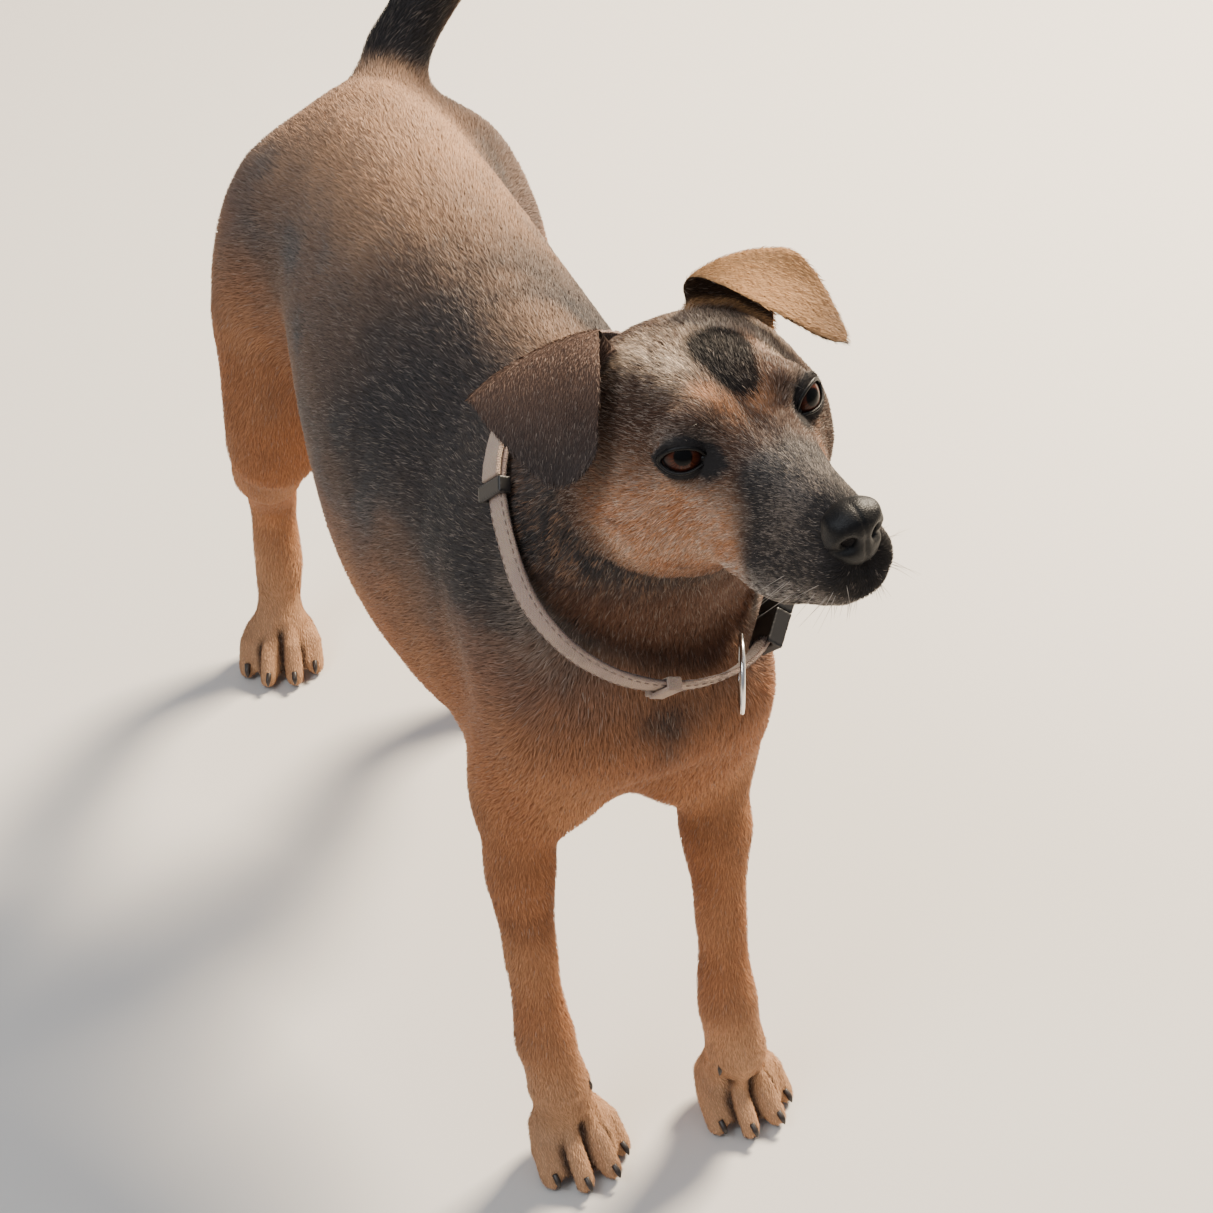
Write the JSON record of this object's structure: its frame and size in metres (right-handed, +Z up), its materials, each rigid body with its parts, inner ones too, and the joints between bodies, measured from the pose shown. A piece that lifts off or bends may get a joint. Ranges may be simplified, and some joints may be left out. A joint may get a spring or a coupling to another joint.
{
  "type": "short-coated dog",
  "caption": "Life-size standing short-coated dog with folded ears and a raised tail, head turned a little aside, wearing a flat collar with a side-release buckle and a ring.",
  "frame": {"origin": "on the floor, under the middle of the whole model's box", "axes": "+Z up, the dog faces -Y, its left side is +X"},
  "size_m": [0.2951, 0.6721, 0.5346],
  "materials": {
    "back_coat": "short grizzled hair, charcoal turning tan on the flanks",
    "head_coat": "very short hair, tan with a grizzled grey muzzle",
    "neck_coat": "short brindled hair",
    "tail_coat": "short dark hair",
    "leg_coat": "short tan hair",
    "paw_coat": "very short light tan hair",
    "ear_coat": "thin velvety hair",
    "eye": "wet, reddish brown with a dark pupil",
    "nose": "damp fine-grained black skin",
    "claw": "worn dark horn",
    "collar_webbing": "soft flat pinkish-beige strap",
    "collar_plastic": "black moulded plastic",
    "collar_ring": "polished wire"
  },
  "bodies": {
    "root": {"head": "head_coat", "neck": "neck_coat", "trunk": "back_coat", "tail": "tail_coat", "front_leg_right": "leg_coat", "front_paw_right": "paw_coat", "front_leg_left": "leg_coat", "front_paw_left": "paw_coat", "hind_leg_right": "leg_coat", "hind_paw_right": "paw_coat", "hind_leg_left": "leg_coat", "hind_paw_left": "paw_coat", "ear_right": "ear_coat", "ear_left": "ear_coat", "eye_right": "eye", "eye_left": "eye", "nose": "nose", "claw_front_right_inner_middle": "claw", "claw_front_right_inner_side": "claw", "claw_front_right_outer_middle": "claw", "claw_front_right_outer_side": "claw", "claw_front_right_dewclaw": "claw", "claw_front_left_inner_middle": "claw", "claw_front_left_inner_side": "claw", "claw_front_left_outer_middle": "claw", "claw_front_left_outer_side": "claw", "claw_front_left_dewclaw": "claw", "claw_hind_right_inner_middle": "claw", "claw_hind_right_inner_side": "claw", "claw_hind_right_outer_middle": "claw", "claw_hind_right_outer_side": "claw", "claw_hind_left_inner_middle": "claw", "claw_hind_left_inner_side": "claw", "claw_hind_left_outer_middle": "claw", "claw_hind_left_outer_side": "claw", "collar_strap": "collar_webbing", "collar_buckle_socket": "collar_plastic", "collar_buckle_plug": "collar_plastic", "collar_fold": "collar_webbing", "collar_slide": "collar_plastic", "collar_keeper": "collar_webbing", "collar_ring": "collar_ring"}
  },
  "joints": []
}
